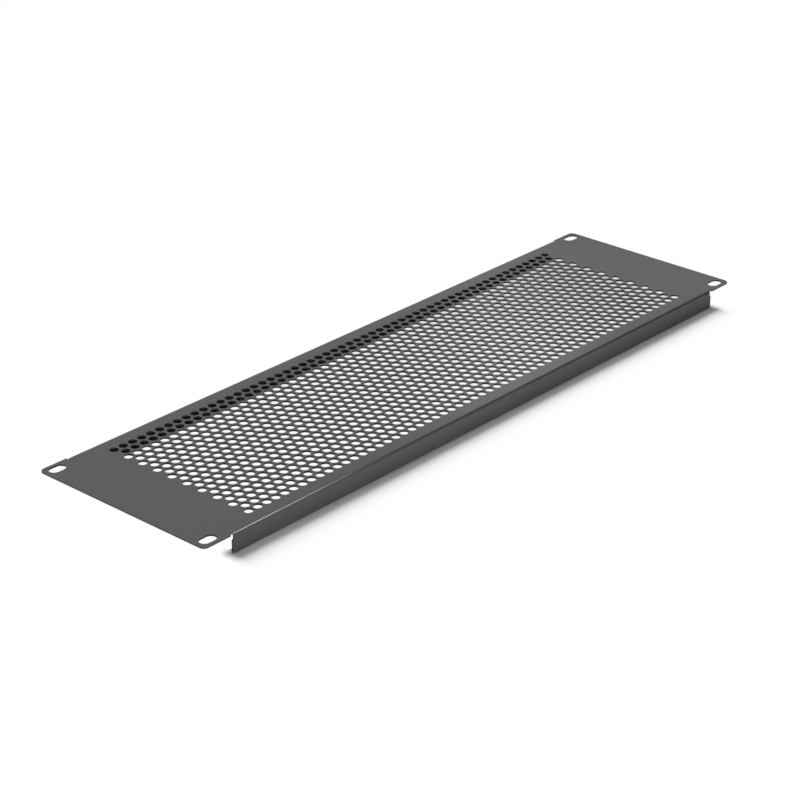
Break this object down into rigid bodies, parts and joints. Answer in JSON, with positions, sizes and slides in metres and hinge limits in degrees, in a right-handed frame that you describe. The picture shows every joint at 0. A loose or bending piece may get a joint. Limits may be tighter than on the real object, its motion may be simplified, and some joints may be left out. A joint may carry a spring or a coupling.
{
  "type": "rack blanking panel",
  "caption": "Vented 19-inch rack blanking panel, folded from one sheet: a staggered field of round holes, slotted mounting ears and a flange turned back along each long edge.",
  "frame": {"origin": "centre of the footprint, in the plane of the flanges' free lower edges, which the panel rests on when it lies face up", "axes": "+X along the panel's 482 mm width, to the right seen from the front with +Y up; +Y along the 132.5 mm height, towards the panel's top edge; +Z out of the front face, towards whoever faces the rack"},
  "size_m": [0.482, 0.1324, 0.012],
  "materials": {
    "powder_coat": "matt dark grey powder coat with a fine texture, on all faces and edges"
  },
  "bodies": {
    "root": {"panel": "powder_coat"}
  },
  "joints": []
}
